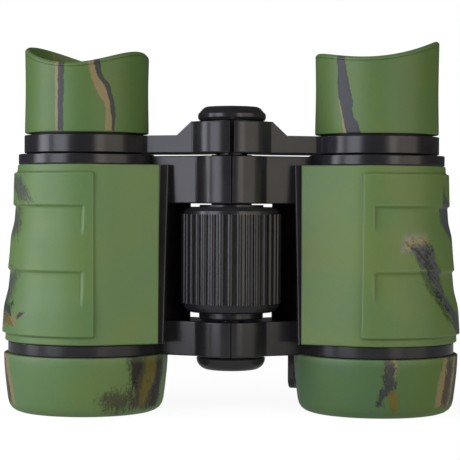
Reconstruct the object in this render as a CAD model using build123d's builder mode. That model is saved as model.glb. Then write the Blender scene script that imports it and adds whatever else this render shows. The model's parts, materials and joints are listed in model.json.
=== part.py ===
from build123d import *
import os
from math import acos, atan2, cos, radians, sin, sqrt, tan

# Compact 4x30 binoculars with a centre hinge, a captive focusing wheel and rubber armour.
#
# They stand on the rims of the two objective covers at z = 0, with the eyepieces on top, fully open.
# X runs from the left barrel to the right one, and the side with the focusing wheel faces -Y.
# The pieces are drawn about the hinge axis. They are saved in the frame of the whole object,
# whose origin is midway between the two barrels. All sizes are in millimetres.

# ---------------------------------------------------------------- driving dimensions
barrel_x = 36.2            # half the distance between the optical axes, fully open
barrel_y = 5.0             # the barrels lie this far behind the hinge axis
objective_d = 31.0         # objective lens, 30 mm of it clear
eye_lens_d = 17.0
fold = 62.0                # the right half folds back by this many degrees
travel = 5.0               # focusing travel of the eyepieces
air = 0.3                  # between parts that move past each other
fit = 0.08                 # radial clearance of a running or sliding fit
bond = 0.05                # glue line between parts that are fixed together

# heights above the rims of the objective covers
cover_top = 14.5
ring_top = 17.4
armour_top = 61.0
flange_top = 63.5
lower_lug = (14.15, 22.7)
upper_lug = (51.5, 63.2)
arm_bottom = 63.8
arm_top = 68.2
bridge_top = 71.55
cap_top = 75.3
bottom_cap_z = 10.65

# housing of one barrel
housing_r = (18.9, 15.6)   # outer radius at cover_top and at armour_top
well_x = (16.4, 15.4)      # side wall of the wheel well, at the same two heights
front_tilt = 24.0          # slope of the front, from the barrel back to the wheel well
ledge = 2.0                # flat strip between that slope and the side wall
corner_r = 0.4             # round between the strip and the side wall
wall = 1.8
armour_t = 1.5
ring_r = 19.4
cover_r = 20.4
flange_r = 16.9
web_tip = (10.3, 11.2)     # rear web behind the wheel, its tip
web_t = 2.8
pocket_r = 13.4            # pocket behind the wheel

# eyelet for a neck cord, on the right half: its front corner, its turn about the vertical, width,
# thickness, hole radius, and the heights of the hole and of the upper end
eyelet_corner = (14.5, 10.5, 0)
eyelet_turn = 20.0
eyelet_w = 5.0
eyelet_t = 1.5
eyelet_r = 1.3
eyelet_z = 7.0
eyelet_top = 18.4

# hinge
lug_r = 9.5
knuckle_r = 6.8
seam = 0.3                 # between the two halves, where the lugs meet in front
lug_edge = 0.35            # round on the edges of the lugs and of the eyepiece bridge
small_edge = 0.25          # round on the rings and flanges
pin_r = 3.5
bush_r = 5.0
spindle_r = 3.9
journal_r = 3.5
pin_top = 27.5
washer_t = 0.5
bridge_washer_z = 0.1      # the washer under the bridge screw, above the bridge
bridge_washer_t = 0.6

# focusing wheel
wheel_r = 12.4
hub_r = 7.9                # necks below and above the ribs
ribs = 34
rib_r = 0.75
rib_depth = 0.75
ribs_z = (27.05, 48.9)

# eyepiece
bridge_r = 10.7
bridge_gap = 1.0
eye_ring_r = 15.5
tube_r = 11.0
head_r = 13.9
head_top = 79.0
cup_r = 15.4
cup_wall = 1.25
cup_bottom = 68.7
cup_turn = {"left": 25.0, "right": 0.0}   # each wing is turned back by this much
# heights of each eyecup's rim at its inner side, at its lowest and at the wing
cup_rim = {"left": (89.4, 85.5, 91.6), "right": (89.35, 87.2, 92.9)}

SIDES = {"left": -1, "right": 1}


# ---------------------------------------------------------------- shared outlines
def front_slope(radius, x):
    """Start of the sloping front on the barrel circle, and its point at x."""
    tilt = radians(front_tilt)
    start = (barrel_x - radius * sin(tilt), barrel_y - radius * cos(tilt))
    return start, (x, start[1] + (start[0] - x) * tan(tilt))


def rear_tangent(radius, tip):
    """Point where the line from the web tip touches the barrel circle, on its rear side."""
    dx, dy = tip[0] - barrel_x, tip[1] - barrel_y
    angle = atan2(dy, dx) - acos(radius / sqrt(dx * dx + dy * dy))
    return barrel_x + radius * cos(angle), barrel_y + radius * sin(angle)


def housing_face(side, radius, wall_x, grow=0.0):
    """Section of a barrel housing: round outside, its front sloping back, a web behind the wheel."""
    r = radius + grow
    tip = (web_tip[0] - grow, web_tip[1] + grow)
    inner = wall_x - grow
    start, strip = front_slope(r, inner + ledge)
    touch = rear_tangent(r, tip)
    with BuildSketch() as section:
        with BuildLine():
            ThreePointArc(
                (side * start[0], start[1]),
                (side * (barrel_x + r), barrel_y),
                (side * touch[0], touch[1]),
            )
            Polyline(
                (side * touch[0], touch[1]),
                (side * tip[0], tip[1]),
                (side * tip[0], web_tip[1] - web_t),
                (side * inner, 4.0),
                (side * inner, strip[1]),
                (side * strip[0], strip[1]),
                (side * start[0], start[1]),
            )
        make_face()
        fillet(section.vertices().sort_by_distance((side * inner, strip[1], 0))[0], radius=corner_r + grow)
    return section.sketch


def housing_loft(side, z_low, z_high, grow=0.0, mode=Mode.ADD):
    """Tapered housing between two heights, made larger all round by grow."""
    sections = []
    for z in (z_low, z_high):
        t = (z - cover_top) / (armour_top - cover_top)
        radius = housing_r[0] + (housing_r[1] - housing_r[0]) * t
        wall_x = well_x[0] + (well_x[1] - well_x[0]) * t
        sections.append(Plane.XY.offset(z) * housing_face(side, radius, wall_x, grow))
    loft(sections, ruled=True, mode=mode)


def lug_face(side, hub_r, valley, gap):
    """Hub sector and arm of one half: the hub arc, a valley towards the barrel, and the rear edge."""
    half_gap = gap / 2
    rear_angle = radians(90 - fold / 2 - 4)
    reach = 27.0
    slope_start = (hub_r * 0.88, -hub_r * 0.475)
    with BuildSketch() as lug:
        with BuildLine():
            Line((side * half_gap, 0), (side * half_gap, -sqrt(hub_r**2 - half_gap**2)))
            ThreePointArc(
                (side * half_gap, -sqrt(hub_r**2 - half_gap**2)),
                (side * hub_r * 0.5, -hub_r * sqrt(0.75)),
                (side * slope_start[0], slope_start[1]),
            )
            Polyline(
                (side * slope_start[0], slope_start[1]),
                (side * valley[0], valley[1]),
                (side * reach, valley[1]),
                (side * reach, barrel_y + 10),
                (side * web_tip[0], web_tip[1]),
                (side * hub_r * cos(rear_angle), hub_r * sin(rear_angle)),
                (side * half_gap, 0),
            )
        make_face()
        fillet(lug.vertices().sort_by_distance((side * slope_start[0], slope_start[1], 0))[0], radius=2.5)
    return lug.sketch


def lug_block(side, hub_r, valley, gap, z_low, z_high):
    """One lug, with its upper and lower edges rounded from the seam to the valley."""
    with BuildPart(mode=Mode.PRIVATE) as block:
        extrude(Plane.XY.offset(z_low) * lug_face(side, hub_r, valley, gap), amount=z_high - z_low)
        level = block.edges().group_by(Axis.Z)
        visible = [
            edge for edge in level[0] + level[-1]
            if edge.center().Y < valley[1] and gap < abs(edge.center().X) < valley[0]
        ]
        fillet(visible, radius=lug_edge)
    add(block.part)


def disc(radius, z_low, z_high, centre=(0, 0), mode=Mode.ADD):
    """Upright cylinder between two heights, added to or cut from the part being made."""
    with BuildSketch(Plane.XY.offset(z_low)) as outline:
        with Locations(centre):
            Circle(radius)
    extrude(outline.sketch, amount=z_high - z_low, mode=mode)


def cone(low, high, centre=(0, 0), mode=Mode.ADD):
    """Upright cone between two (height, radius) pairs."""
    ends = []
    for z, radius in (low, high):
        with BuildSketch(Plane.XY.offset(z)) as outline:
            with Locations(centre):
                Circle(radius)
        ends.append(outline.sketch)
    loft(ends, ruled=True, mode=mode)


def knuckle(side, low, high, bore_r):
    """Round knuckle of this half, the left one below and the right one above, and room for the other."""
    middle = (low + high) / 2
    half = washer_t / 2 + bond
    own = (low, middle - half) if side < 0 else (middle + half, high)
    other = (middle - half, high) if side < 0 else (low, middle + half)
    disc(knuckle_r + air, *other, mode=Mode.SUBTRACT)
    disc(knuckle_r, *own)
    disc(bore_r, *own, mode=Mode.SUBTRACT)


def ring(outer_r, inner_r, z_low, z_high, centre=(0, 0)):
    """Plain ring, added to the part being made."""
    with BuildSketch(Plane.XY.offset(z_low)) as outline:
        with Locations(centre):
            Circle(outer_r)
            Circle(inner_r, mode=Mode.SUBTRACT)
    extrude(outline.sketch, amount=z_high - z_low)


def section_plane(side):
    """Plane through a barrel axis whose x is the radius towards the front and y is the height."""
    return Plane((side * barrel_x, barrel_y, 0), x_dir=(0, -1, 0), z_dir=(-1, 0, 0))


def barrel_axis(side):
    return Axis((side * barrel_x, barrel_y, 0), (0, 0, 1))


def save(part, label):
    """Move a piece from the hinge frame to the object's frame, name it and write it."""
    piece = Pos(0, -barrel_y, 0) * part
    piece.label = label
    export_step(piece, f"parts/{label}.step")


# ---------------------------------------------------------------- barrels
def make_barrel(side):
    """Moulded housing with both hinge lugs, the lens seat below and the eyepiece collar on top."""
    centre = (side * barrel_x, barrel_y)
    seat_r = objective_d / 2 + 0.1
    clear_r = objective_d / 2 - 0.9
    spigot_r, spigot_bottom = 17.2, 3.2
    shoulder = (9.1, 10.6)
    collar_bottom = 55.0
    hollow_y = 1.0
    bore = ((ring_top + wall, housing_r[0] - wall), (armour_top - wall, housing_r[1] - wall))
    corner_x = (well_x[0] + wall, well_x[1] + wall)
    with BuildPart() as barrel:
        housing_loft(side, ring_top, armour_top)
        # pocket for the wheel
        disc(pocket_r, lower_lug[1], upper_lug[0], mode=Mode.SUBTRACT)
        # the lugs and their knuckles
        for low, high in (lower_lug, upper_lug):
            lug_block(side, lug_r, (20.3, 0.2), seam, low, high)
            pin = pin_r if low == lower_lug[0] else bush_r
            knuckle(side, low, high, pin + (bond if side < 0 else fit))
        # room for the objective cover under the lower lug
        disc(cover_r + bond, lower_lug[0], cover_top, centre, mode=Mode.SUBTRACT)
        # ring above the objective cover, flange under the eyepiece, spigot for the cover
        rounded_disc(ring_r, cover_top, ring_top, centre, small_edge)
        rounded_disc(flange_r, armour_top, flange_top, centre, small_edge)
        disc(spigot_r, spigot_bottom, cover_top, centre)
        # tapered bore up to the collar, and the hollow front corner beside it
        cone(*bore, centre, mode=Mode.SUBTRACT)
        for (z, r), x in zip(bore, corner_x):
            start, corner = front_slope(r, x)
            with BuildSketch(Plane.XY.offset(z)):
                with BuildLine():
                    Polyline(
                        (side * start[0], start[1]),
                        (side * corner[0], corner[1]),
                        (side * x, hollow_y),
                        (side * (barrel_x - 4), hollow_y),
                        close=True,
                    )
                make_face()
        loft(ruled=True, mode=Mode.SUBTRACT)
        # lens seat: bore, shoulder with the clear aperture, and the bore above it
        disc(seat_r, spigot_bottom, shoulder[0], centre, mode=Mode.SUBTRACT)
        disc(clear_r, *shoulder, centre, mode=Mode.SUBTRACT)
        disc(seat_r, shoulder[1], bore[0][0], centre, mode=Mode.SUBTRACT)
        # collar in which the eyepiece tube slides
        disc(tube_r + fit + wall, collar_bottom, armour_top, centre)
        disc(tube_r + fit, collar_bottom, flange_top, centre, mode=Mode.SUBTRACT)
        if side > 0:
            # fin with an eyelet for a neck cord, hanging from the web behind the objective cover
            turn = radians(eyelet_turn)
            fin = Plane(eyelet_corner, x_dir=(sin(turn), cos(turn), 0), z_dir=(cos(turn), -sin(turn), 0))
            with BuildSketch(fin) as outline:
                with Locations((eyelet_w / 2, eyelet_z)):
                    Circle(eyelet_w / 2)
                with Locations((eyelet_w / 2, (eyelet_z + eyelet_top) / 2)):
                    Rectangle(eyelet_w, eyelet_top - eyelet_z)
                with Locations((eyelet_w / 2, eyelet_z)):
                    Circle(eyelet_r, mode=Mode.SUBTRACT)
            extrude(outline.sketch, amount=eyelet_t)
    return barrel.part


# ---------------------------------------------------------------- rubber armour
def panel_radius(profile, z):
    """Radius of the grip panel at a height, between the corners of its profile."""
    for (r0, z0), (r1, z1) in zip(profile, profile[1:]):
        if z1 <= z <= z0:
            return r0 + (r1 - r0) * (z0 - z) / (z0 - z1)
    return profile[-1][0]


def make_armour(side):
    """Rubber sleeve round the barrel, open towards the hinge, with a raised grip panel."""
    bottom, top = ring_top + bond, armour_top - bond
    edge_front, edge_rear = 17.5 if side < 0 else 16.9, 21.0
    grip = ((18.0, 59.0), (18.2, 51.3), (19.15, 38.5), (20.6, 24.3), (20.9, 19.4))
    recesses = ((51.2, 42.9), (35.4, 25.6))
    recess_depth = 0.6
    # the panel and the recesses start this many degrees before the front of the barrel
    lead, recess_lead = (10.5, 1.8) if side < 0 else (15.0, 5.5)
    with BuildPart() as armour:
        housing_loft(side, bottom, top, armour_t)
        # the grip panel: a raised band round the outer side
        with BuildSketch(section_plane(side)) as band:
            with BuildLine():
                Polyline(*grip, (17.0, grip[-1][1]), (16.0, grip[0][1]), close=True)
            make_face()
        axis = barrel_axis(side)
        revolve(band.sketch.rotate(axis, -side * lead), axis, side * (180 + 2 * lead))
        # finger recesses, deep at the upper edge and running out at the lower one
        for high, low in recesses:
            with BuildSketch(section_plane(side)) as recess:
                with BuildLine():
                    Polyline(
                        (panel_radius(grip, high) - recess_depth, high - 0.5),
                        (panel_radius(grip, low), low),
                        (23.0, low),
                        (23.0, high),
                        (panel_radius(grip, high), high),
                        close=True,
                    )
                make_face()
            start = recess.sketch.rotate(axis, -side * recess_lead)
            revolve(start, axis, side * (180 + 2 * recess_lead), mode=Mode.SUBTRACT)
        housing_loft(side, bottom, top, bond, mode=Mode.SUBTRACT)
        # straight edges beside the wheel well and at the back
        for x_edge, y_low, y_high in ((edge_front, -30, barrel_y), (edge_rear, barrel_y, 40)):
            with BuildSketch(Plane.XY.offset(bottom)) as cut:
                with Locations((side * (x_edge - 15), (y_low + y_high) / 2)):
                    Rectangle(30, y_high - y_low)
            extrude(cut.sketch, amount=top - bottom, mode=Mode.SUBTRACT)
    return armour.part


# ---------------------------------------------------------------- turned pieces
def turned(side, points):
    """Solid of revolution from (radius, height) corners, about a barrel axis or the hinge axis."""
    plane = section_plane(side) if side else Plane.XZ
    axis = barrel_axis(side) if side else Axis.Z
    with BuildSketch(plane) as outline:
        with BuildLine():
            Polyline(*points, close=True)
        make_face()
    revolve(outline.sketch, axis, 360)


def rounded_disc(radius, z_low, z_high, centre, edge):
    """Upright cylinder with a small round on its upper and lower edges, added to the part being made."""
    with BuildPart(mode=Mode.PRIVATE) as block:
        disc(radius, z_low, z_high, centre)
        fillet(block.edges(), radius=edge)
    add(block.part)


def make_objective_cover(side):
    """Rubber bumper over the objective end, with a lip in front of the lens."""
    with BuildPart() as cover:
        with BuildSketch(section_plane(side)) as outline:
            with BuildLine():
                Polyline((19.45, 3.0), (cover_r, cover_top - bond), (17.25, cover_top - bond), (17.25, 3.0),
                         (15.4, 3.0), (15.4, 0.5), (15.9, 0.0), (17.2, 0.0))
                ThreePointArc((17.2, 0.0), (18.75, 0.85), (19.45, 3.0))
            make_face()
        revolve(outline.sketch, barrel_axis(side), 360)
    return cover.part


def make_objective_lens(side):
    """Biconvex lens with ground edge."""
    half_d, curve_r, edge = objective_d / 2, 90.0, (7.1, 8.9)
    bulge = curve_r - sqrt(curve_r**2 - half_d**2)
    chord = half_d / 2
    chord_bulge = bulge - (curve_r - sqrt(curve_r**2 - chord**2))
    with BuildPart() as lens:
        with BuildSketch(section_plane(side)) as outline:
            with BuildLine():
                ThreePointArc((0, edge[0] - bulge), (chord, edge[0] - chord_bulge), (half_d, edge[0]))
                Line((half_d, edge[0]), (half_d, edge[1]))
                ThreePointArc((half_d, edge[1]), (chord, edge[1] + chord_bulge), (0, edge[1] + bulge))
                Line((0, edge[1] + bulge), (0, edge[0] - bulge))
            make_face()
        revolve(outline.sketch, barrel_axis(side), 360)
    return lens.part


def make_objective_retainer(side):
    """Ring that holds the objective lens against its shoulder."""
    with BuildPart() as retainer:
        turned(side, ((15.52, 4.2), (15.52, 6.9), (14.6, 6.9), (14.6, 4.8), (15.0, 4.2)))
    return retainer.part


def make_eyepiece_tube(side):
    """Tube that slides in the barrel, with a head for the lens and a groove for the eyecup."""
    with BuildPart() as tube:
        turned(side, (
            (tube_r, 50.0), (tube_r, arm_top + 0.1), (head_r, arm_top + 0.1), (head_r, 71.0),
            (head_r - 0.8, 71.0), (head_r - 0.8, 72.4), (head_r, 72.4), (head_r, head_top - 0.5),
            (head_r - 0.5, head_top), (8.6, head_top), (8.6, 72.0), (7.6, 72.0),
            (7.6, 70.5), (9.4, 70.5), (9.4, 50.0),
        ))
    return tube.part


def make_eye_lens(side):
    """Biconcave lens."""
    half_d, curve_r, edge = eye_lens_d / 2, 22.5, (72.1, 76.9)
    sag = curve_r - sqrt(curve_r**2 - half_d**2)
    chord = half_d / 2
    chord_sag = sag - (curve_r - sqrt(curve_r**2 - chord**2))
    with BuildPart() as lens:
        with BuildSketch(section_plane(side)) as outline:
            with BuildLine():
                ThreePointArc((0, edge[0] + sag), (chord, edge[0] + chord_sag), (half_d, edge[0]))
                Line((half_d, edge[0]), (half_d, edge[1]))
                ThreePointArc((half_d, edge[1]), (chord, edge[1] - chord_sag), (0, edge[1] - sag))
                Line((0, edge[1] - sag), (0, edge[0] + sag))
            make_face()
        revolve(outline.sketch, barrel_axis(side), 360)
    return lens.part


def make_eye_retainer(side):
    """Ring that holds the eye lens down in the head."""
    with BuildPart() as retainer:
        turned(side, ((8.55, 76.95), (8.55, 78.6), (8.1, 78.6), (7.4, 77.6), (7.4, 76.95)))
    return retainer.part


def make_eyecup(side, wing_turn, rim):
    """Soft winged eyecup: a lipped sleeve over the head, its rim cut high on the outer side."""
    inner_r = head_r + fit
    lip = (head_top + air, head_top + air + 1.0)
    rim_top = 95.0
    with BuildPart() as cup:
        turned(side, (
            (cup_r, cup_bottom), (cup_r - 0.15, 80.0), (cup_r, rim_top),
            (cup_r - cup_wall, rim_top), (cup_r - cup_wall, lip[1]), (11.5, lip[1]), (11.5, lip[0]),
            (inner_r, lip[0]), (inner_r, 72.05), (inner_r - 0.5, 71.9), (inner_r - 0.5, 71.5),
            (inner_r, 71.35), (inner_r, cup_bottom),
        ))
        # the rim is a saddle, highest at the wing and second highest towards the hinge
        angle = radians(wing_turn)
        wing = Vector(side * cos(angle), sin(angle), 0)
        cutter = Plane((side * barrel_x, barrel_y, 0), x_dir=wing, z_dir=wing.cross(Vector(0, 0, 1)))
        with BuildSketch(cutter) as above:
            with BuildLine():
                ThreePointArc((-17, rim[0]), (-3.6, rim[1]), (17, rim[2]))
                Polyline((17, rim[2]), (17, 97), (-17, 97), (-17, rim[0]))
            make_face()
        extrude(above.sketch, amount=20, both=True, mode=Mode.SUBTRACT)
    return cup.part


def make_bridge_arm(side):
    """Arm that carries one eyepiece on the focusing spindle, with its half of the hub."""
    centre = (side * barrel_x, barrel_y)
    valley = (20.8, -1.2)
    shoulder = (13.5, 9.9)
    with BuildPart() as arm:
        lug_block(side, bridge_r, valley, bridge_gap, arm_bottom, bridge_top)
        disc(eye_ring_r, arm_bottom, bridge_top, centre)
        # thin arm and ring, with a sloping shoulder up to the hub
        with BuildSketch(Plane.XZ) as profile:
            with BuildLine():
                Polyline(
                    (0, arm_bottom), (side * 60, arm_bottom), (side * 60, arm_top),
                    (side * shoulder[0], arm_top), (side * shoulder[1], bridge_top), (0, bridge_top),
                    close=True,
                )
            make_face()
            fillet(profile.vertices().sort_by_distance((side * shoulder[1], 0, bridge_top))[0], radius=1.0)
        extrude(profile.sketch, amount=40, both=True, mode=Mode.INTERSECT)
        ring_edges = arm.edges().filter_by(GeomType.CIRCLE).filter_by(
            lambda e: abs(e.radius - eye_ring_r) < 0.01)
        fillet(ring_edges, radius=small_edge)
        knuckle(side, arm_bottom, bridge_top, journal_r + (bond if side < 0 else fit))
        disc(tube_r + bond, arm_bottom, arm_top, centre, mode=Mode.SUBTRACT)
    return arm.part


# ---------------------------------------------------------------- focusing and hinge
def make_focus_wheel():
    """Ribbed wheel held captive between the lugs, threaded on the spindle."""
    bore = spindle_r + fit
    low, high = lower_lug[1] + air, upper_lug[0] - air
    core = wheel_r - rib_depth
    shoulder = ((10.3, 1.8), (11.2, 1.45), (11.75, 0.8), (11.95, 0))
    below = [(r, ribs_z[0] - 1.2 * drop) for r, drop in shoulder]
    above = [(r, ribs_z[1] + drop) for r, drop in reversed(shoulder)]
    with BuildPart() as wheel:
        turned(0, (
            (pin_r + fit, low), (hub_r - 0.35, low), (hub_r, low + 0.5), (hub_r, below[0][1]), *below,
            (core, ribs_z[0]), (core, ribs_z[1]), *above, (hub_r, above[-1][1]), (hub_r, high),
            (bush_r + fit, high), (bush_r + fit, 47.5), (bore, 47.5), (bore, pin_top + air),
            (pin_r + fit, pin_top + air),
        ))
        with BuildSketch(Plane.XY.offset(ribs_z[0])) as rib:
            with PolarLocations(wheel_r - rib_r, ribs, start_angle=-91.4):
                Circle(rib_r)
        extrude(rib.sketch, amount=ribs_z[1] - ribs_z[0])
    return wheel.part


def make_focus_spindle():
    """Spindle that the wheel drives up and down, with a journal for the arms."""
    with BuildPart() as spindle:
        disc(spindle_r, pin_top + 1.0, arm_bottom - 0.1)
        disc(journal_r, arm_bottom - 0.1, bridge_top + bond)
        disc(1.55, 62.0, bridge_top + bond, mode=Mode.SUBTRACT)
    return spindle.part


def make_bridge_screw():
    """Pan-head screw with a cross recess that holds the arms on the spindle."""
    seat = bridge_top + bridge_washer_z + bridge_washer_t + bond
    with BuildPart() as screw:
        turned(0, (
            (0, 63.0), (1.0, 63.0), (1.5, 63.6), (1.5, seat), (2.9, seat), (2.9, seat + 0.85),
            (2.2, seat + 1.55), (0, seat + 1.55),
        ))
        with BuildSketch(Plane.XY.offset(seat + 0.85)) as cross:
            Rectangle(3.2, 0.6)
            Rectangle(0.6, 3.2)
        extrude(cross.sketch, amount=1.0, mode=Mode.SUBTRACT)
    return screw.part


def make_washer(outer_r, inner_r, z_low, thickness):
    with BuildPart() as washer:
        ring(outer_r, inner_r, z_low, z_low + thickness)
    return washer.part


def make_top_cap():
    """Snap cap over the bridge screw."""
    foot = bridge_top + air
    with BuildPart() as cap:
        turned(0, (
            (0, cap_top), (6.4, cap_top), (7.0, cap_top - 0.3), (8.35, cap_top - 1.8), (8.4, cap_top - 2.7),
            (8.1, foot + 0.2), (7.7, foot), (6.25, foot), (6.25, cap_top - 1.0), (0, cap_top - 1.0),
        ))
    return cap.part


def make_bottom_cap():
    """Rounded cap over the head of the lower hinge pin."""
    top, floor = lower_lug[0] - air, bottom_cap_z + 1.2
    with BuildPart() as cap:
        with BuildSketch(Plane.XZ) as outline:
            with BuildLine():
                Line((0, bottom_cap_z), (5.4, bottom_cap_z))
                ThreePointArc((5.4, bottom_cap_z), (7.6, bottom_cap_z + 0.75), (8.5, top - 0.4))
                Polyline(
                    (8.5, top - 0.4), (8.1, top), (5.3, top), (5.3, floor), (0, floor), (0, bottom_cap_z),
                )
            make_face()
        revolve(outline.sketch, Axis.Z, 360)
    return cap.part


def make_hinge_bush():
    """Hollow bush of the upper hinge, in which the spindle slides."""
    with BuildPart() as bush:
        ring(bush_r, spindle_r + fit, 48.0, upper_lug[1] + air)
    return bush.part


def make_hinge_pin():
    """Pin of the lower hinge, which also centres the wheel."""
    with BuildPart() as pin:
        disc(pin_r, lower_lug[0] - bond, pin_top)
        disc(5.2, bottom_cap_z + 1.3, lower_lug[0] - bond)
    return pin.part


# ---------------------------------------------------------------- build and write
os.makedirs("parts", exist_ok=True)
for name, side in SIDES.items():
    save(make_barrel(side), f"{name}_barrel")
    save(make_armour(side), f"{name}_armour")
    save(make_objective_cover(side), f"{name}_objective_cover")
    save(make_objective_lens(side), f"{name}_objective_lens")
    save(make_objective_retainer(side), f"{name}_objective_retainer")
    save(make_bridge_arm(side), f"{name}_bridge_arm")
    save(make_eyepiece_tube(side), f"{name}_eyepiece_tube")
    save(make_eye_lens(side), f"{name}_eye_lens")
    save(make_eye_retainer(side), f"{name}_eye_retainer")
    save(make_eyecup(side, cup_turn[name], cup_rim[name]), f"{name}_eyecup")

for name, low, high, inner_r in (
    ("lower_hinge_washer", *lower_lug, pin_r),
    ("upper_hinge_washer", *upper_lug, bush_r),
    ("bridge_hinge_washer", arm_bottom, bridge_top, journal_r),
):
    save(make_washer(6.5, inner_r + 0.1, (low + high - washer_t) / 2, washer_t), name)

save(make_washer(6.2, 1.6, bridge_top + bridge_washer_z, bridge_washer_t), "bridge_screw_washer")
save(make_focus_wheel(), "focus_wheel")
save(make_focus_spindle(), "focus_spindle")
save(make_bridge_screw(), "bridge_screw")
save(make_top_cap(), "top_cap")
save(make_bottom_cap(), "bottom_cap")
save(make_hinge_bush(), "upper_hinge_bush")
save(make_hinge_pin(), "lower_hinge_pin")
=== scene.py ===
import json
import math

import bpy
import numpy as np
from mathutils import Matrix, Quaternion, Vector


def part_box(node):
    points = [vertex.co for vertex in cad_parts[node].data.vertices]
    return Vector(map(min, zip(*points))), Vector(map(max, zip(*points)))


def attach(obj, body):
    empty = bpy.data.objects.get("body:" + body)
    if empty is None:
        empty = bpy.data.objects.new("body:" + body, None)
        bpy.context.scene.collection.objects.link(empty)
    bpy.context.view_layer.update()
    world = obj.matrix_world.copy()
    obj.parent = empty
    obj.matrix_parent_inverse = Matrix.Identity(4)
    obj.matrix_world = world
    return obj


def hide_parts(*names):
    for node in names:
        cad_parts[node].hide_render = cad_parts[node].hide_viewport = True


# Compact binoculars with rubber armour. Sizes in the shape code are millimetres from the frame's
# origin, and MM turns them into the frame's metres. A side is -1 for the left and 1 for the right.

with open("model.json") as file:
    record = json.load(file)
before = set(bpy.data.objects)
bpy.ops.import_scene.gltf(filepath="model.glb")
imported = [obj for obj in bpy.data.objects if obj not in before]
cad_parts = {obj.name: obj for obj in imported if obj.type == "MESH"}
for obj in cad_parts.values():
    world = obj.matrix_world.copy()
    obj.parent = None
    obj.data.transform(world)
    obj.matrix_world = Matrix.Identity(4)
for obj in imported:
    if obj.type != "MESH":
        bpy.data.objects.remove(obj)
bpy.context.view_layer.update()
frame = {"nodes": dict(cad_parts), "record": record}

MM = 0.001
TURNS = 192                      # points round a turned piece
ARC_STEPS = 4                    # along each rounded corner of an outline
SHARP_ANGLE = math.radians(50)   # between faces, from which an edge stays sharp
BARREL_X = sum(v.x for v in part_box("right_eyecup")) / 2 / MM    # of the right barrel's axis
FRONT_TILT = math.radians(24)    # slope of the barrel's front, back towards the focusing wheel


def name_of(side):
    return "left" if side < 0 else "right"


# ---------------------------------------------------------------- node building
def srgb(r, g, b, gain=(1.0, 1.0, 1.0)):
    """Linear colour of an 8-bit display colour, each part of it made lighter or darker by gain."""
    def linear(v):
        v /= 255
        return v / 12.92 if v <= 0.04045 else ((v + 0.055) / 1.055) ** 2.4
    return (linear(r) * gain[0], linear(g) * gain[1], linear(b) * gain[2], 1.0)


class Nodes:
    """A material and short calls that add nodes to it. Places are in millimetres, as at rest."""

    def __init__(self, name):
        self.material = bpy.data.materials.new(name)
        self.material.use_nodes = True
        self.tree = self.material.node_tree
        self.shader = self.tree.nodes["Principled BSDF"]

    def add(self, kind, inputs=(), **settings):
        node = self.tree.nodes.new("ShaderNode" + kind)
        for key, value in settings.items():
            setattr(node, key, value)
        for key, value in dict(inputs).items():
            self.put(node.inputs[key], value)
        return node

    def put(self, socket, value):
        if isinstance(value, bpy.types.NodeSocket):
            self.tree.links.new(value, socket)
        else:
            socket.default_value = value

    def math(self, operation, *values):
        node = self.add("Math", operation=operation)
        for socket, value in zip(node.inputs, values):
            self.put(socket, value)
        return node.outputs[0]

    def mix(self, factor, a, b):
        """Colour a where factor is 0, and b where it is 1."""
        node = self.add("Mix", data_type="RGBA", inputs={0: factor, 6: a, 7: b})
        return node.outputs[2]

    def place(self):
        """The point on the piece at rest, in millimetres."""
        node = self.add("VectorMath", operation="SCALE")
        self.put(node.inputs[0], self.add("TexCoord").outputs["Object"])
        self.put(node.inputs["Scale"], 1 / MM)
        return node.outputs[0]

    def stretched(self, place, x, y, z):
        node = self.add("VectorMath", operation="MULTIPLY")
        self.put(node.inputs[0], place)
        self.put(node.inputs[1], (x, y, z))
        return node.outputs[0]

    def noise(self, vector, size, detail, roughness=0.5, seed=0.0):
        """Noise from 0 to 1 whose lumps are about size millimetres."""
        node = self.add("TexNoise", noise_dimensions="4D", inputs={
            "Vector": vector, "Scale": 1 / size, "Detail": detail, "Roughness": roughness,
            "W": seed})
        return node.outputs["Fac"]

    def step(self, value, low, high):
        """0 below low, 1 above high and smooth in between, or the other way round."""
        node = self.add("MapRange", interpolation_type="SMOOTHSTEP", inputs={
            "Value": value, "From Min": low, "From Max": high})
        return node.outputs[0]

    def line(self, value, points):
        """Smooth curve through (value, result) points, in order of value."""
        low, high = points[0][0], points[-1][0]
        results = [p[1] for p in points]
        base, span = min(results), max(max(results) - min(results), 1e-3)
        node = self.add("FloatCurve")
        curve = node.mapping.curves[0]
        for _ in points[2:]:
            curve.points.new(0.5, 0.5)
        for dot, (at, result) in zip(curve.points, points):
            dot.location = ((at - low) / (high - low), (result - base) / span)
        node.mapping.update()
        share = self.add("MapRange", inputs={"Value": value, "From Min": low, "From Max": high})
        self.put(node.inputs["Value"], share.outputs[0])
        return self.math("MULTIPLY_ADD", node.outputs[0], span, base)

    def bump(self, height, distance):
        """Raises the surface by height times distance, which is in millimetres."""
        node = self.add("Bump", inputs={"Height": height, "Distance": distance * MM, "Strength": 1.0})
        self.put(self.shader.inputs["Normal"], node.outputs["Normal"])

    def finish(self, colour, roughness):
        """Gives the shader its colour and roughness, each a plain value or a node's."""
        self.put(self.shader.inputs["Base Color"], colour)
        self.put(self.shader.inputs["Roughness"], roughness)

    def settle(self, **settings):
        """Sets the shader's own sockets, named with _ for a space."""
        for key, value in settings.items():
            self.put(self.shader.inputs[key.replace("_", " ")], value)


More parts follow.
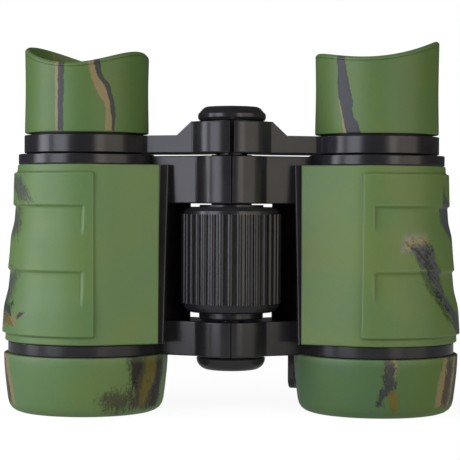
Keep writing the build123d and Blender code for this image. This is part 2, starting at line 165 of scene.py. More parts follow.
# ---------------------------------------------------------------- rubber with printed camouflage
PAINT = {
    "grey": (61, 62, 66), "tan": (150, 136, 96), "mustard": (114, 105, 38), "brown": (70, 60, 44),
    "black": (32, 30, 25), "slate": (82, 87, 94), "ash": (88, 88, 86), "moss": (78, 98, 50),
    "pale": (150, 152, 126),
}
GREEN, OLIVE, DEEP, LIGHT = (100, 130, 78), (108, 132, 72), (94, 128, 84), (122, 148, 94)
# olive, a painted tint of the warm light from +X
SIDE_LIGHT_OLIVE = srgb(106, 132, 62, (0.80, 0.84, 0.72))
# pale green for edges, as rubbing and a painted highlight, and dark green for a painted shadow
SCUFF_HIGHLIGHT, CORNER_SHADOW = srgb(134, 156, 116), srgb(46, 62, 28)
MM_PER_DEGREE, DEGREES_PER_MM = 0.33, 3.0    # round the outside of a barrel
MOTTLE_MEAN = 0.53
WANDER = 4.0              # degrees that the edges of a mark stray
RAGGED_REACH = 8.0        # degrees that brush streaks eat in, for each of noise and of raggedness
RAGGED_THINNING = 0.03    # share of the paint that is missing, for each degree of raggedness


def brush_mottle(n, place, angle, z, lean, seed):
    """Noise of brush streaks, at that lean, and of flecks."""
    round_it = n.math("MULTIPLY", angle, MM_PER_DEGREE)
    upright, sideways = math.cos(lean), math.sin(lean)
    along = n.math("SUBTRACT", n.math("MULTIPLY", z, upright), n.math("MULTIPLY", round_it, sideways))
    across = n.math("ADD", n.math("MULTIPLY", z, sideways), n.math("MULTIPLY", round_it, upright))
    brush = n.add("CombineXYZ", inputs={
        0: n.math("MULTIPLY", along, 0.3), 1: n.math("MULTIPLY", across, 1.3)})
    streak = n.noise(brush.outputs[0], 1.0, 4, 0.6, seed=seed + 9)
    fleck = n.noise(place, 0.45, 2, 0.6, seed=seed + 15)
    return n.math("MULTIPLY_ADD", fleck, 0.45, n.math("MULTIPLY", streak, 0.55))


def printed(n, colour, mark, angle, z, mottle):
    """The colour with one mark over it. A mark is (paint, rows, edge, ragged): rows are
    (height, from angle, to angle), going up, edge is the softness of its edges and ragged how far
    the brush streaks eat into them, both in degrees."""
    paint, rows, edge, ragged = mark
    low = n.line(z, [(row[0], row[1]) for row in rows])
    high = n.line(z, [(row[0], row[2]) for row in rows])
    depth = n.math("MINIMUM", n.math("SUBTRACT", angle, low), n.math("SUBTRACT", high, angle))
    ends = n.math("MINIMUM", n.math("SUBTRACT", z, rows[0][0]), n.math("SUBTRACT", rows[-1][0], z))
    depth = n.math("MINIMUM", depth, n.math("MULTIPLY", ends, DEGREES_PER_MM))
    mottle_off = n.math("SUBTRACT", mottle, MOTTLE_MEAN)
    eaten = n.math("MULTIPLY_ADD", mottle_off, RAGGED_REACH * ragged, depth)
    inside = n.math("MULTIPLY", n.step(eaten, -edge, edge), 1.0 - RAGGED_THINNING * ragged)
    dark = n.math("MULTIPLY", n.step(mottle, 0.42, 0.60), min(0.12 * ragged, 0.45))
    tone = n.mix(dark, srgb(*PAINT[paint]), srgb(*PAINT["black"]))
    if paint in ("grey", "slate"):
        outline = n.math("MULTIPLY", n.step(depth, 1.8, 0.2), 0.5)
        tone = n.mix(outline, tone, srgb(*PAINT["black"]))
    return n.mix(inside, colour, tone)


def printed_back(n, colour, place, angle, y, z, mottle, seed):
    """The colour with streaky branches over it where it faces backwards."""
    back = n.step(y, 3.0, 9.0)
    warp = n.math("MULTIPLY_ADD", n.noise(place, 9.0, 2, seed=seed + 11), 26.0, angle)
    branches = n.add("CombineXYZ", inputs={
        0: n.math("MULTIPLY", warp, 0.16), 1: n.math("MULTIPLY", z, 0.055)})
    branch = n.noise(branches.outputs[0], 1.0, 4, 0.55, seed=seed + 13)
    branch = n.math("MULTIPLY_ADD", n.math("SUBTRACT", mottle, 0.5), 0.06, branch)
    for paint, low, high in (("tan", 0.60, 0.62), ("grey", 0.635, 0.655)):
        share = n.math("MULTIPLY", n.step(branch, low, high), back)
        colour = n.mix(share, colour, srgb(*PAINT[paint]))
    return colour


def rubber(name, side, marks, seed, tone_light, lean=0.0, side_light_cast=0.0):
    """Matt green rubber of one barrel, with painted marks.

    Its red, green and blue are scaled by three gains, which give its own tone and also painted
    light, and it turns olive towards +X, a painted tint of the warm light from that side, by a share.
    Angles go round the barrel in degrees, from its front towards +X. The brush streaks lean by
    lean degrees, towards +X going down."""
    n = Nodes(name)
    place = n.place()
    x, y, z = n.add("SeparateXYZ", inputs={0: place}).outputs
    angle = n.math("DEGREES", n.math("ARCTAN2", n.math("SUBTRACT", x, side * BARREL_X),
                                     n.math("MULTIPLY", y, -1.0)))
    broad = n.noise(place, 16.0, 2, seed=seed)
    cloud = n.noise(place, 4.5, 3, 0.55, seed=seed + 3)
    grain = n.noise(place, 0.35, 3, 0.6, seed=seed + 5)
    # the gains hold the piece's own tone and also painted light
    colour = n.mix(n.step(broad, 0.38, 0.66), srgb(*GREEN, tone_light), srgb(*OLIVE, tone_light))
    for noise, low, share, green in ((cloud, 0.5, 0.35, DEEP), (grain, 0.45, 0.22, LIGHT)):
        over = n.math("MULTIPLY", n.step(noise, low, 0.75), share)
        colour = n.mix(over, colour, srgb(*green, tone_light))
    # a painted tint of the warm light, olive towards +X
    side_light_share = n.math("MULTIPLY", n.step(angle, -15.0, 50.0), side_light_cast)
    colour = n.mix(side_light_share, colour, SIDE_LIGHT_OLIVE)

    mottle = brush_mottle(n, place, angle, z, math.radians(lean), seed)
    stray = n.math("SUBTRACT", n.noise(place, 1.6, 3, 0.6, seed=seed + 7), 0.5)
    strayed = n.math("ADD", angle, n.math("MULTIPLY", stray, WANDER))
    for mark in marks:
        colour = printed(n, colour, mark, strayed, z, mottle)
    colour = printed_back(n, colour, place, angle, y, z, mottle, seed)

    # edges and rims go pale, as rubbing and a painted highlight, and corners and creases get a
    # painted shadow, as each mesh says
    scuff_light_shadow = n.add("Attribute", attribute_name="scuff_light_shadow", attribute_type="GEOMETRY").outputs["Fac"]
    scuff_highlight = n.math("MULTIPLY", n.step(scuff_light_shadow, 0.15, 0.9), n.math("MULTIPLY_ADD", cloud, 0.5, 0.05))
    colour = n.mix(scuff_highlight, colour, SCUFF_HIGHLIGHT)
    # a painted shadow in corners and creases
    corner_shadow = n.math("MULTIPLY", n.step(scuff_light_shadow, -0.1, -0.9), 0.65)
    colour = n.mix(corner_shadow, colour, CORNER_SHADOW)

    n.finish(colour, n.math("MULTIPLY_ADD", grain, 0.12, 0.38))
    n.settle(Specular_IOR_Level=0.4)
    n.bump(n.math("MULTIPLY_ADD", cloud, 0.5, grain), 0.035)
    return n.material


# the printed marks, as printed() takes them, with heights in millimetres and angles in degrees
CUP_LEFT = [
    ("tan", [(69.0, -24.2, -20.0), (79.2, -25.2, -20.0), (88.5, -23.8, -18.0)], 0.7, 0.1),
    ("grey", [(69.0, -22.2, -16.7), (79.2, -22.6, -16.8), (88.5, -19.8, -14.7)], 0.7, 0.3),
    ("tan", [(69.0, 20.4, 29.0), (74.3, 21.4, 28.0), (77.5, 15.8, 25.0), (80.1, 11.0, 20.5),
             (83.0, 7.7, 13.5), (88.0, 4.0, 11.0)], 0.8, 0.4),
    ("grey", [(69.0, 28.2, 30.6), (74.3, 26.6, 31.3), (77.5, 24.1, 28.9), (80.1, 19.7, 25.6),
              (83.0, 13.0, 18.7), (88.0, 9.8, 15.8)], 0.7, 0.3),
]
CUP_RIGHT = [
    ("tan", [(68.5, -36.5, -30.0), (71.2, -38.0, -32.0), (75.5, -41.5, -36.0),
             (78.0, -42.0, -40.0)], 0.7, 0.5),
    ("grey", [(68.5, -33.0, -19.5), (71.2, -35.8, -22.5), (73.1, -37.9, -27.0), (76.4, -40.9, -27.6),
              (79.3, -43.7, -30.3), (84.2, -44.0, -34.1), (91.0, -44.5, -37.5)], 0.7, 0.4),
]
GRIP_LEFT = [
    ("ash", [(51.6, -60.0, -40.0), (54.0, -70.0, -45.0), (56.5, -90.0, -53.0),
             (58.4, -100.0, -56.5)], 3.4, 6.5),
    ("ash", [(43.0, -100.0, -59.0), (46.0, -98.0, -55.0), (48.3, -95.0, -58.0),
             (51.0, -96.0, -56.0)], 3.8, 6.5),
    ("ash", [(25.4, -100.0, -58.0), (29.0, -100.0, -61.0), (32.4, -98.0, -57.0),
             (35.3, -96.0, -50.0)], 3.8, 6.5),
    ("tan", [(21.4, -96.0, -50.0), (23.0, -96.0, -50.0), (24.8, -92.0, -58.0)], 1.0, 2.5),
    ("mustard", [(21.6, -84.0, -54.0), (23.0, -84.0, -56.0), (24.4, -84.0, -62.0)], 1.2, 3.5),
    ("grey", [(24.0, -104.0, -58.0), (27.5, -100.0, -56.0)], 1.2, 3.5),
    ("brown", [(23.4, -50.2, -48.0), (24.6, -48.6, -42.6), (25.2, -44.5, -40.7)], 0.7, 0.5),
]
GRIP_RIGHT = [
    ("pale", [(39.8, 13.0, 34.0), (41.5, 13.0, 36.0), (44.8, 18.0, 36.5)], 2.5, 3.2),
    ("tan", [(41.0, 16.0, 37.0), (42.4, 16.5, 37.5), (43.4, 22.0, 37.0)], 1.4, 3.0),
    ("moss", [(22.8, 54.0, 60.0), (26.5, 44.0, 50.0), (29.5, 38.3, 45.0), (32.5, 32.1, 41.0),
              (35.6, 27.4, 37.0)], 1.5, 2.0),
    ("slate", [(19.0, 67.0, 92.0), (22.9, 59.0, 80.0), (24.8, 55.0, 68.4), (27.9, 46.8, 57.9),
               (30.9, 41.4, 52.3), (33.9, 36.0, 50.2), (36.0, 29.8, 48.0), (38.1, 25.3, 44.7),
               (39.8, 21.4, 42.0), (41.6, 20.6, 38.9), (42.2, 24.0, 37.6)], 2.4, 2.0),
    ("black", [(22.9, 59.0, 64.0), (27.9, 46.8, 50.0), (33.9, 36.0, 41.2), (38.1, 27.3, 38.7),
               (40.9, 23.4, 38.0)], 3.6, 6.5),
    ("slate", [(42.5, 70.0, 100.0), (45.7, 60.0, 92.0), (48.4, 54.7, 80.0), (50.7, 56.0, 76.0),
               (53.9, 58.5, 64.0), (56.0, 60.0, 61.0)], 2.2, 2.0),
]
COVER_LEFT = [
    ("tan", [(2.0, -66.0, -58.0), (6.4, -72.0, -59.0), (9.0, -86.0, -61.0),
             (14.8, -90.0, -64.0)], 1.2, 1.0),
    ("brown", [(2.0, -72.0, -63.5), (6.4, -86.0, -65.0), (9.0, -100.0, -68.0),
               (14.8, -104.0, -74.0)], 1.2, 2.5),
    ("brown", [(0.6, 24.0, 36.0), (2.4, 17.0, 40.0), (4.6, 14.0, 42.0), (6.6, 24.0, 42.0)], 6.0, 6.0),
    ("brown", [(1.4, 36.0, 70.0), (6.2, 38.2, 72.0), (11.8, 37.2, 73.0), (14.8, 36.0, 74.0)], 3.0, 3.0),
    ("black", [(6.6, 38.0, 42.0), (9.2, 37.2, 44.0), (12.1, 34.3, 47.3), (14.8, 33.8, 48.5)], 2.8, 2.6),
    ("mustard", [(2.4, 46.0, 52.0), (6.2, 46.0, 57.0), (9.0, 47.4, 62.0), (11.8, 48.6, 62.0),
                 (14.8, 52.7, 60.0)], 1.2, 2.2),
    ("black", [(1.4, 50.0, 64.0), (3.1, 56.5, 69.0), (5.9, 58.5, 71.2), (8.4, 61.5, 72.5),
               (14.8, 62.5, 73.7)], 1.5, 3.0),
]
COVER_RIGHT = [
    ("tan", [(9.8, 4.0, 8.5), (12.6, 1.6, 10.2), (14.8, 0.2, 10.2)], 1.0, 1.6),
    ("grey", [(3.2, -4.8, -0.2), (5.4, -3.4, 2.4), (7.1, -2.1, 9.6), (8.5, 0.4, 9.6), (10.6, -0.5, 8.6),
              (11.6, 1.2, 9.2), (14.8, 0.2, 5.2)], 1.0, 2.2),
    ("mustard", [(1.4, 7.8, 11.4), (3.9, 4.8, 11.8), (5.6, 3.6, 11.4), (7.3, 6.0, 9.6)], 1.0, 1.8),
    ("tan", [(2.4, 43.0, 62.0), (6.1, 43.2, 66.0), (8.9, 44.5, 70.0), (11.8, 47.3, 72.0),
             (14.8, 48.8, 70.0)], 1.2, 1.2),
    ("brown", [(2.0, 49.8, 60.0), (6.1, 50.2, 62.0), (8.9, 51.6, 63.0), (11.8, 52.6, 64.0),
               (14.8, 54.0, 65.0)], 1.2, 2.4),
    ("black", [(2.0, 64.0, 80.0), (8.9, 67.0, 90.0), (14.8, 69.0, 95.0)], 1.4, 3.0),
]
# the marks of each side's eyecup, armour and cover, and the gains of their red, green and blue, which
# give each piece its own tone and also painted light: the left armour and cover lighter, the right
# cover darker and bluer
MARKS = {-1: (CUP_LEFT, GRIP_LEFT, COVER_LEFT), 1: (CUP_RIGHT, GRIP_RIGHT, COVER_RIGHT)}
TONE_LIGHT_GAINS = {-1: ((0.83, 0.89, 0.80), (1.07, 1.09, 1.12), (1.02, 1.06, 1.12)),
          1: ((0.86, 0.88, 0.84), (1.00, 0.98, 0.92), (0.62, 0.76, 0.86))}
# share of each cover painted olive towards +X by the warm light from that side
COVER_SIDE_LIGHT = {-1: 0.0, 1: 0.85}
GRIP_LEAN = 42.0          # degrees that the brush streaks on the armour lean


# ---------------------------------------------------------------- meshes
def finish_piece(node, points, faces, scuff_light_shadow, material, body):
    """Makes a piece from points in millimetres, in place of a node. It is smooth but for its sharp
    corners. For each point, a value above 0 makes it pale, as rubbing and a painted highlight, and
    one below 0 makes it dark, as a painted shadow."""
    mesh = bpy.data.meshes.new(node + "_rubber")
    mesh.from_pydata((np.asarray(points, float) * MM).tolist(), [], faces)
    mesh.validate()
    scuff_light_layer = mesh.attributes.new("scuff_light_shadow", "FLOAT", "POINT")
    scuff_light_layer.data.foreach_set("value", np.asarray(scuff_light_shadow, np.float32))
    mesh.shade_smooth()
    mesh.set_sharp_from_angle(angle=SHARP_ANGLE)
    mesh.materials.append(material)
    piece = bpy.data.objects.new(mesh.name, mesh)
    bpy.context.scene.collection.objects.link(piece)
    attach(piece, body)
    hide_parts(node)


def softened(corners):
    """The closed outline of (radius, height, round) corners, with an arc at each corner whose round
    is above 0."""
    flat = [np.array(c[:2], float) for c in corners]
    made = []
    for i, corner in enumerate(flat):
        cut = corners[i][2]
        if not cut:
            made.append(corner)
            continue
        ends = []
        for other in (flat[i - 1], flat[(i + 1) % len(flat)]):
            length = np.linalg.norm(other - corner)
            ends.append(corner + (other - corner) * min(cut / length, 0.45))
        for t in np.linspace(0, 1, ARC_STEPS + 1):
            made.append((1 - t) ** 2 * ends[0] + 2 * t * (1 - t) * corner + t * t * ends[1])
    return np.array(made)


def revolved(side, outline, heights):
    """Points and faces of a closed (radius, height) outline turned about a barrel's axis.
    heights(height, angle) gives the heights at each angle, which runs from the front towards +X."""
    radius, height = outline[:, 0], outline[:, 1]
    angle = np.linspace(0, 2 * np.pi, TURNS, endpoint=False)[:, None]
    x = side * BARREL_X + radius * np.sin(angle)
    y = -radius * np.cos(angle)
    z = np.broadcast_to(heights(height[None, :], angle), x.shape)
    points = np.stack([x, y, z], -1).reshape(-1, 3)
    count = len(outline)
    index = np.arange(TURNS * count).reshape(TURNS, count)
    over, up = np.roll(index, -1, 0), np.roll(index, -1, 1)
    faces = np.stack([index, over, np.roll(over, -1, 1), up], -1).reshape(-1, 4)
    return points, faces.tolist()


def make_cup(side, material):
    """Winged eyecup: a sleeve with a thick rolled rim, cut as a saddle whose high end is the wing."""
    base, lip = 68.7, 80.3    # heights of its foot and of the ledge round the eye lens
    rim_z = 87.0              # height of the rim before the saddle moves it
    crease = rim_z - 1.0      # where the rolled rim starts
    bore, outer, inner, ledge = 14.0, 15.4, 14.15, 11.5
    wing_turn = math.radians(25 if side < 0 else 0)
    # heights of the rim as a polynomial of how far out towards the wing a place is, from -1 to 1
    saddle_z = (85.7, 2.1, 4.0, -1.1) if side < 0 else (87.4, 1.6, 3.05, 0.0)
    # from the lower edge of the bore, out and over the rim, and in to the ledge
    outline = softened([
        (bore, base, 0), (outer, base, 0.35), (15.38, 71.0, 0), (15.33, 73.5, 0), (15.28, 76.0, 0),
        (15.25, 78.5, 0), (15.25, 80.4, 0), (15.27, 81.6, 0), (15.3, 82.8, 0), (15.34, 84.0, 0),
        (outer - 0.02, crease - 0.5, 0), (outer - 0.02, crease - 0.07, 0), (outer - 0.11, crease, 0),
        (outer, crease + 0.07, 0), (outer, crease + 0.4, 0), (outer - 0.02, rim_z - 0.5, 0),
        (outer - 0.5, rim_z, 0.45), (inner + 0.15, rim_z, 0.3), (inner, rim_z - 0.6, 0),
        (inner, rim_z - 2.0, 0), (inner, 83.5, 0), (inner, 82.0, 0), (inner, lip + 0.3, 0),
        (inner - 0.4, lip, 0), (ledge + 0.2, lip, 0), (ledge, lip - 0.3, 0), (ledge, lip - 1.0, 0),
        (bore, lip - 1.0, 0),
    ])

    def saddle(z, angle):
        out = side * np.sin(angle) * math.cos(wing_turn) - np.cos(angle) * math.sin(wing_turn)
        rim = sum(share * out**power for power, share in enumerate(saddle_z))
        return z + smooth(z, lip + 0.1, crease - 1.0) * (rim - rim_z)

    points, faces = revolved(side, outline, saddle)
    radius, height = outline.T
    # a painted highlight along the rolled rim, and a painted shadow in the crease below it
    rim_highlight = 0.7 * near(height, rim_z - 0.2, 0.35)
    crease_shadow = 0.6 * near(height, crease, 0.1) * (radius > 15)
    finish_piece(f"{name_of(side)}_eyecup", points, faces, np.tile(rim_highlight - crease_shadow, TURNS), material,
                 f"{name_of(side)}_cup")


def make_cover(side, material):
    """Rubber bumper over the objective end, a little barrelled, with a rounded foot and a lip."""
    top, seat, bore, opening = 14.43, 3.05, 17.25, 15.4
    outline = softened([
        (bore, seat, 0), (opening, seat, 0.15), (opening, 2.0, 0), (15.42, 1.1, 0), (15.6, 0.4, 0),
        (16.0, 0.08, 0), (16.6, 0.0, 0), (17.1, 0.05, 0), (17.75, 0.3, 0), (18.5, 0.85, 0),
        (19.05, 1.7, 0), (19.38, 2.9, 0), (19.72, 5.5, 0), (20.0, 8.0, 0), (20.2, 10.0, 0),
        (20.34, 12.0, 0), (20.42, top, 0.4), (bore, top, 0),
    ])
    points, faces = revolved(side, outline, lambda z, angle: z)
    radius, height = outline.T
    # pale round the top edge and the foot: rubbing and a painted highlight
    scuff_light_shadow = 0.8 * near(height, top - 0.3, 0.4) * (radius > 19)
    scuff_light_shadow += 0.5 * near(height, 0.5, 0.7) * (radius > 17)
    finish_piece(f"{name_of(side)}_objective_cover", points, faces, np.tile(scuff_light_shadow, TURNS), material,
                 f"{name_of(side)}_half")


def refined(start, stop, fine):
    """Sample places from start to stop, closer together round each of the fine (centre, reach)
    places."""
    step, fine_step = 0.85, 0.15
    places = set(np.round(np.linspace(start, stop, int(round((stop - start) / step)) + 1), 4))
    for centre, reach in fine:
        count = int(round(2 * reach / fine_step)) + 1
        around = np.round(np.linspace(centre - reach, centre + reach, count), 4)
        places |= {place for place in around if start < place < stop}
    kept = []
    for place in sorted(places):
        if not kept or place - kept[-1] > 0.45 * fine_step:
            kept.append(place)
    kept[-1] = stop
    return np.array(kept)


def smooth(value, low, high):
    """0 below low, 1 above high and smooth in between."""
    t = np.clip((value - low) / (high - low), 0, 1)
    return t * t * (3 - 2 * t)


def near(value, centre, reach):
    """1 at the centre, and fading to 0 in about twice the reach."""
    return np.exp(-((value - centre) / reach) ** 2)


def rounded_box(u, v, u0, u1, v0, v1, radius):
    """Distance inside (above 0) or outside a box with round corners."""
    du = np.abs(u - (u0 + u1) / 2) - (u1 - u0) / 2 + radius
    dv = np.abs(v - (v0 + v1) / 2) - (v1 - v0) / 2 + radius
    outside = np.hypot(np.maximum(du, 0), np.maximum(dv, 0))
    return radius - outside - np.minimum(np.maximum(du, dv), 0)


def make_armour(side, material):
    """Rubber sleeve round a barrel with a raised grip panel and two finger scoops in it."""
    bottom, top = 17.46, 60.94
    r_bottom, r_top = 20.17, 17.1        # outer radius at those heights, without the panel
    inset = 1.42                         # of the inner face
    # distance from the middle plane at which the sleeve ends in front and at the back
    front_x, rear_x = 17.5 if side < 0 else 16.9, 21.0
    web_tip = (8.8, 7.7)                 # the straight rear part points at this
    panel_x, panel_z, panel_round = 32.8 if side < 0 else 31.4, (19.4, 59.0), 0.6
    grip_z = (19.4, 24.3, 38.5, 51.3, 59.0)     # heights on the panel, and its outer radius there
    grip_r = (20.9, 20.6, 19.15, 18.2, 18.0)
    scoop_x, scoops, scoop_depth = 35.6 if side < 0 else 34.4, ((42.9, 51.2), (25.6, 35.4)), 0.62
    edge_round = 0.4
    first = -math.pi / 2 - FRONT_TILT    # where the section leaves the circle for the sloping front

    def radius(z):
        return r_bottom + (r_top - r_bottom) * (z - bottom) / (top - bottom)

    def front_length(r):
        return (BARREL_X - r * math.sin(FRONT_TILT) - front_x) / math.cos(FRONT_TILT)

    def turn_off(r):
        """Angle, from +X, where the section leaves the circle for the straight rear part."""
        dx, dy = web_tip[0] - BARREL_X, web_tip[1]
        return math.atan2(dy, dx) - np.arccos(r / math.hypot(dx, dy))

    def rear_length(r):
        angle = turn_off(r)
        return (BARREL_X + r * np.cos(angle) - rear_x) / np.sin(angle)

    # places along the section at mid height: the sloping front, the barrel's arc, the straight rear
    mid_r = radius(39.0)    # close to the middle of the sleeve
    front_len = front_length(mid_r)
    arc_len = mid_r * (turn_off(mid_r) - first)
    total = front_len + arc_len + rear_length(mid_r)

    def ends(x):
        """Places in front and at the back of the barrel at that distance from the middle plane."""
        lean = math.asin((BARREL_X - x) / mid_r)
        turns = (-math.pi / 2 - lean, math.pi / 2 + lean)
        return [front_len + mid_r * (turn - first) for turn in turns]

    s_panel, s_scoop = ends(panel_x), ends(scoop_x)
    s = refined(0, total, [(0, 0.5), (total, 0.5)] + [(place, 0.75) for place in s_panel + s_scoop])
    z = refined(bottom, top, [(bottom, 0.5), (top, 0.5)] + [(place, 0.8) for place in panel_z]
                + [(high, 0.7) for low, high in scoops])
    s, z = np.meshgrid(s, z, indexing="ij")
    r = radius(z)
    before = np.minimum(s - front_len, 0) / front_len * front_length(r)
    arc = np.clip((s - front_len) / arc_len, 0, 1)
    past = np.maximum(s - front_len - arc_len, 0) / rear_length(mid_r) * rear_length(r)
    angle = first + arc * (turn_off(r) - first)
    nx, ny = np.cos(angle), np.sin(angle)
    px = BARREL_X + r * nx - (before + past) * ny
    py = r * ny + (before + past) * nx

    # the raised panel, pale along its edge as rubbing and a painted highlight, with a painted shadow
    # in the corner beside it
    inside = rounded_box(s, z, *s_panel, *panel_z, panel_round)
    rise = (np.interp(z, grip_z, grip_r) - r) * smooth(inside, -0.2, 0.3)
    scuff_light_shadow = 0.6 * near(inside, 0.3, 0.3) - 0.55 * near(inside, -0.25, 0.16)
    # the finger scoops, which drop at their upper edge and run out downwards
    for low, high in scoops:
        down = (high - z) / (high - low)
        share = smooth(down, 0, 0.09) * (1 - smooth(down, 0.45, 1.02))
        along = np.minimum(s - s_scoop[0], s_scoop[1] - s)
        within = smooth(along, -0.3, 0.3)
        rise -= scoop_depth * share * within
        # a painted highlight just outside the scoop's side edges and a painted shadow just inside them
        scuff_light_shadow += share * (0.9 * near(along, -0.35, 0.3) - 0.5 * near(along, 0.35, 0.25))
        # a painted highlight just above the scoop's upper edge
        scuff_light_shadow += 0.5 * near(z, high + 0.35, 0.3) * within
    # the rounded border of the sleeve
    border = np.minimum(np.minimum(s, total - s), np.minimum(z - bottom, top - z))
    drop = np.maximum(edge_round - border, 0)
    rise -= edge_round - np.sqrt(edge_round**2 - drop**2)
    # pale along the rounded border: rubbing and a painted highlight
    scuff_light_shadow += 0.5 * near(border, 0.25, 0.3)

    skins = [np.stack([side * (px + nx * lift), py + ny * lift, z], -1).reshape(-1, 3)
             for lift in (rise, -inset)]
    index = np.arange(s.size).reshape(s.shape)
    corners = [index[:-1, :-1], index[1:, :-1], index[1:, 1:], index[:-1, 1:]]
    outer = np.stack(corners, -1).reshape(-1, 4)
    loop = np.concatenate([index[:, 0], index[-1, 1:], index[-2::-1, -1], index[0, -2:0:-1]])
    after = np.roll(loop, -1)
    rim = np.stack([after, loop, loop + s.size, after + s.size], -1)
    faces = np.concatenate([outer, outer[:, ::-1] + s.size, rim])
    if side < 0:
        faces = faces[:, ::-1]
    scuff_light_shadow = np.concatenate([scuff_light_shadow.ravel(), np.zeros(s.size)])
    finish_piece(f"{name_of(side)}_armour", np.concatenate(skins), faces.tolist(), scuff_light_shadow, material,
                 f"{name_of(side)}_half")


# ---------------------------------------------------------------- plastic, metal and glass
EDGE_REACH = 0.35         # millimetres from an edge that plastic is lightened, as rubbing and a painted highlight


def brighter(colour, factor):
    return srgb(*[part * factor for part in colour])


def plastic(name, colour, roughness, seed, edge_scuff_light=0.35):
    """Moulded black plastic with a satin skin, faint flow marks and edges lightened as rubbing and a
    painted highlight.
    """
    n = Nodes(name)
    place = n.place()
    cloud = n.noise(place, 7.0, 3, 0.55, seed=seed)
    flow = n.noise(n.stretched(place, 1, 1, 0.25), 2.2, 3, 0.5, seed=seed + 2)
    grain = n.noise(place, 0.22, 2, 0.6, seed=seed + 4)
    base = n.mix(n.step(cloud, 0.35, 0.7), srgb(*colour), brighter(colour, 1.16))
    # an edge is where the surface and its rounded version face different ways
    rounded = n.add("Bevel", samples=4, inputs={"Radius": EDGE_REACH * MM})
    facing = n.add("VectorMath", operation="DOT_PRODUCT")
    n.put(facing.inputs[0], rounded.outputs[0])
    n.put(facing.inputs[1], n.add("NewGeometry").outputs["Normal"])
    edge = n.math("MULTIPLY", n.step(facing.outputs["Value"], 0.995, 0.86), n.step(cloud, 0.3, 0.62))
    edge = n.math("MULTIPLY", edge, edge_scuff_light)
    # edges lightened as rubbing and a painted highlight, and roughened as rubbing
    base = n.mix(edge, base, brighter(colour, 2.1))
    rough = n.math("MULTIPLY_ADD", flow, 0.09, roughness - 0.045)
    n.finish(base, n.math("MULTIPLY_ADD", edge, 0.25, rough))
    n.bump(n.math("MULTIPLY_ADD", cloud, 1.4, grain), 0.006)
    return n.material


def steel(name):
    """Turned steel with fine rings and a little staining."""
    n = Nodes(name)
    place = n.place()
    rings = n.noise(n.stretched(place, 0.05, 0.05, 6.0), 1.0, 2, seed=2)
    stain = n.noise(place, 2.5, 3, seed=4)
    n.finish(n.mix(n.step(stain, 0.45, 0.75), srgb(96, 96, 98), srgb(70, 68, 66)),
             n.math("MULTIPLY_ADD", rings, 0.22, 0.2))
    n.settle(Metallic=1.0)
    n.bump(rings, 0.006)
    return n.material


def glass(name):
    """Coated lens: clear, faintly violet where it shines, with a little dust."""
    n = Nodes(name)
    speck = n.step(n.noise(n.place(), 0.5, 3, 0.7, seed=6), 0.64, 0.72)
    n.finish(n.mix(speck, srgb(236, 240, 250), srgb(190, 192, 196)),
             n.math("MULTIPLY_ADD", speck, 0.12, 0.02))
    n.settle(Transmission_Weight=1.0, IOR=1.52, Coat_Weight=0.6, Coat_Roughness=0.03,
             Coat_Tint=srgb(186, 160, 226))
    return n.material


def nylon(name):
    """Black nylon with a cloudy, waxy skin."""
    n = Nodes(name)
    cloud = n.noise(n.place(), 1.5, 3, seed=8)
    n.finish(n.mix(cloud, srgb(30, 30, 32), srgb(22, 22, 23)),
             n.math("MULTIPLY_ADD", cloud, 0.2, 0.4))
    n.bump(cloud, 0.01)
    return n.material


BODY_BLACK, INNER_BLACK, CORE_GREEN = (38, 37, 40), (24, 24, 26), (70, 90, 56)
finishes = {
    "body_plastic": plastic("body_plastic", BODY_BLACK, 0.23, 1),
    "inner_plastic": plastic("inner_plastic", INNER_BLACK, 0.55, 5, edge_scuff_light=0.15),
    "washer_plastic": nylon("washer_plastic"),
    "lens_glass": glass("lens_glass"),
    "steel": steel("steel"),
    "armour_rubber": plastic("armour_rubber_core", CORE_GREEN, 0.55, 9),
    "camo_rubber": plastic("camo_rubber_core", CORE_GREEN, 0.55, 11),
}
for part in frame["record"]["subparts"]:
    node = frame["nodes"][part["node"]]
    for socket in node.material_slots:
        socket.material = finishes[part["material_slot"]]

for side in (-1, 1):
    cup_marks, grip_marks, cover_marks = MARKS[side]
    cup_tone_light, grip_tone_light, cover_tone_light = TONE_LIGHT_GAINS[side]
    label = name_of(side)
    make_cup(side, rubber(f"{label}_cup_rubber", side, cup_marks, 20 + side, cup_tone_light))
    make_armour(side, rubber(f"{label}_grip_rubber", side, grip_marks, 31 + side, grip_tone_light,
                             lean=GRIP_LEAN))
    make_cover(side, rubber(f"{label}_cover_rubber", side, cover_marks, 47 + side, cover_tone_light,
                            side_light_cast=COVER_SIDE_LIGHT[side]))


# ---------------------------------------------------------------- floor, light and camera
FLOOR_RADIUS, FLOOR_CORNERS = 1.2, 96
FLOOR_FULL, FLOOR_GONE = 180.0, 420.0    # millimetres from the middle, between which it fades out
FLOOR_GLOW = 0.93                        # as the camera sees it
FLOOR_BOUNCE = 0.3                       # as the object sees it
EVEN_LIGHT = 0.06
SOFTBOX_DISTANCE, SOFTBOX_HEIGHT, SOFTBOX_TALL = 0.9, 0.28, 0.9
SOFTBOX_AIM = (0, 0, 0.045)
# azimuth from the front towards +X, width, radiance and colour
SOFTBOXES = {
    "side_softbox": (-80.0, 0.36, 4.1, (0.98, 1.0, 1.1)),
    "left_softbox": (-45.5, 0.46, 2.9, (0.98, 1.0, 1.12)),
    "right_softbox": (27.0, 0.285, 2.2, (1.07, 1.0, 0.88)),
    "far_softbox": (56.0, 0.6, 1.15, (1.09, 1.0, 0.84)),
}
CAMERA_PLACE = (-0.00035, -0.405, 0.0525)
CAMERA_AIM = (-0.00035, 0, 0.0449)
CAMERA_ROLL = 0.29                       # degrees
CAMERA_LENS, CAMERA_SENSOR = 126.7, 36.0


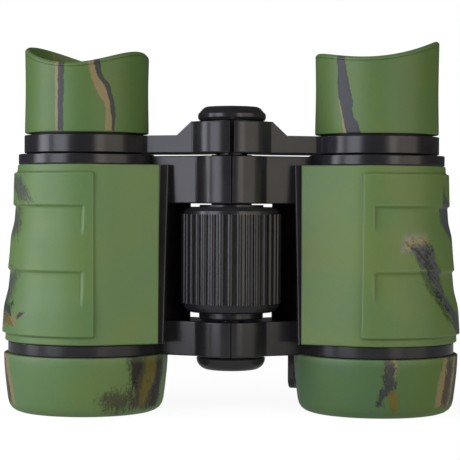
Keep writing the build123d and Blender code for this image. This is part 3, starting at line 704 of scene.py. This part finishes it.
def make_floor():
    """Pale round floor whose edge fades out, so the background stays plain."""
    mesh = bpy.data.meshes.new("floor")
    turns = np.linspace(0, 2 * np.pi, FLOOR_CORNERS, endpoint=False)
    mesh.from_pydata([(FLOOR_RADIUS * math.cos(t), FLOOR_RADIUS * math.sin(t), 0) for t in turns],
                     [], [list(range(FLOOR_CORNERS))])
    floor = bpy.data.objects.new("floor", mesh)
    bpy.context.scene.collection.objects.link(floor)
    n = Nodes("floor")
    place = n.place()
    reach = n.add("VectorMath", operation="LENGTH")
    n.put(reach.inputs[0], place)
    paper = n.noise(place, 3.0, 3, seed=1)
    n.finish(n.mix(paper, srgb(118, 118, 118), srgb(124, 124, 124)), 0.9)
    seen = n.add("LightPath").outputs["Is Camera Ray"]
    n.settle(Specular_IOR_Level=0.0, Emission_Color=(1.0, 1.0, 1.0, 1.0),
             Emission_Strength=n.math("MULTIPLY_ADD", seen, FLOOR_GLOW - FLOOR_BOUNCE, FLOOR_BOUNCE),
             Alpha=n.step(reach.outputs["Value"], FLOOR_GONE, FLOOR_FULL))
    mesh.materials.append(n.material)


def make_world(lighting):
    """Plain white behind the object, and a dimmer even light on it."""
    world = bpy.data.worlds.new("studio")
    world.use_nodes = True
    tree = world.node_tree
    seen = tree.nodes.new("ShaderNodeLightPath").outputs["Is Camera Ray"]
    strength = tree.nodes.new("ShaderNodeMapRange")
    strength.inputs["To Min"].default_value = lighting
    strength.inputs["To Max"].default_value = 1.0
    tree.links.new(seen, strength.inputs["Value"])
    back = tree.nodes["Background"]
    back.inputs["Color"].default_value = (1.0, 1.0, 1.0, 1.0)
    tree.links.new(strength.outputs[0], back.inputs["Strength"])
    bpy.context.scene.world = world


def make_light(name, azimuth, width, radiance, colour):
    """Softbox that faces the object, unseen by the camera."""
    light = bpy.data.lights.new(name, "AREA")
    light.shape = "RECTANGLE"
    light.size, light.size_y = width, SOFTBOX_TALL
    light.energy = radiance * math.pi * width * SOFTBOX_TALL
    light.color = colour
    lamp = bpy.data.objects.new(name, light)
    turn = math.radians(azimuth)
    lamp.location = (SOFTBOX_DISTANCE * math.sin(turn), -SOFTBOX_DISTANCE * math.cos(turn),
                     SOFTBOX_HEIGHT)
    aim = Vector(SOFTBOX_AIM) - lamp.location
    lamp.rotation_euler = aim.to_track_quat("-Z", "Y").to_euler()
    lamp.visible_camera = False
    bpy.context.scene.collection.objects.link(lamp)


make_floor()
make_world(EVEN_LIGHT)
for name, settings in SOFTBOXES.items():
    make_light(name, *settings)

camera = bpy.data.objects.new("camera", bpy.data.cameras.new("camera"))
bpy.context.scene.collection.objects.link(camera)
camera.location = CAMERA_PLACE
aim = (Vector(CAMERA_AIM) - camera.location).to_track_quat("-Z", "Y")
camera.rotation_euler = (aim @ Quaternion((0, 0, 1), math.radians(CAMERA_ROLL))).to_euler()
camera.data.lens = CAMERA_LENS
camera.data.sensor_width = CAMERA_SENSOR
camera.data.clip_start = 0.01
bpy.context.scene.camera = camera
bpy.context.scene.view_settings.view_transform = "Standard"
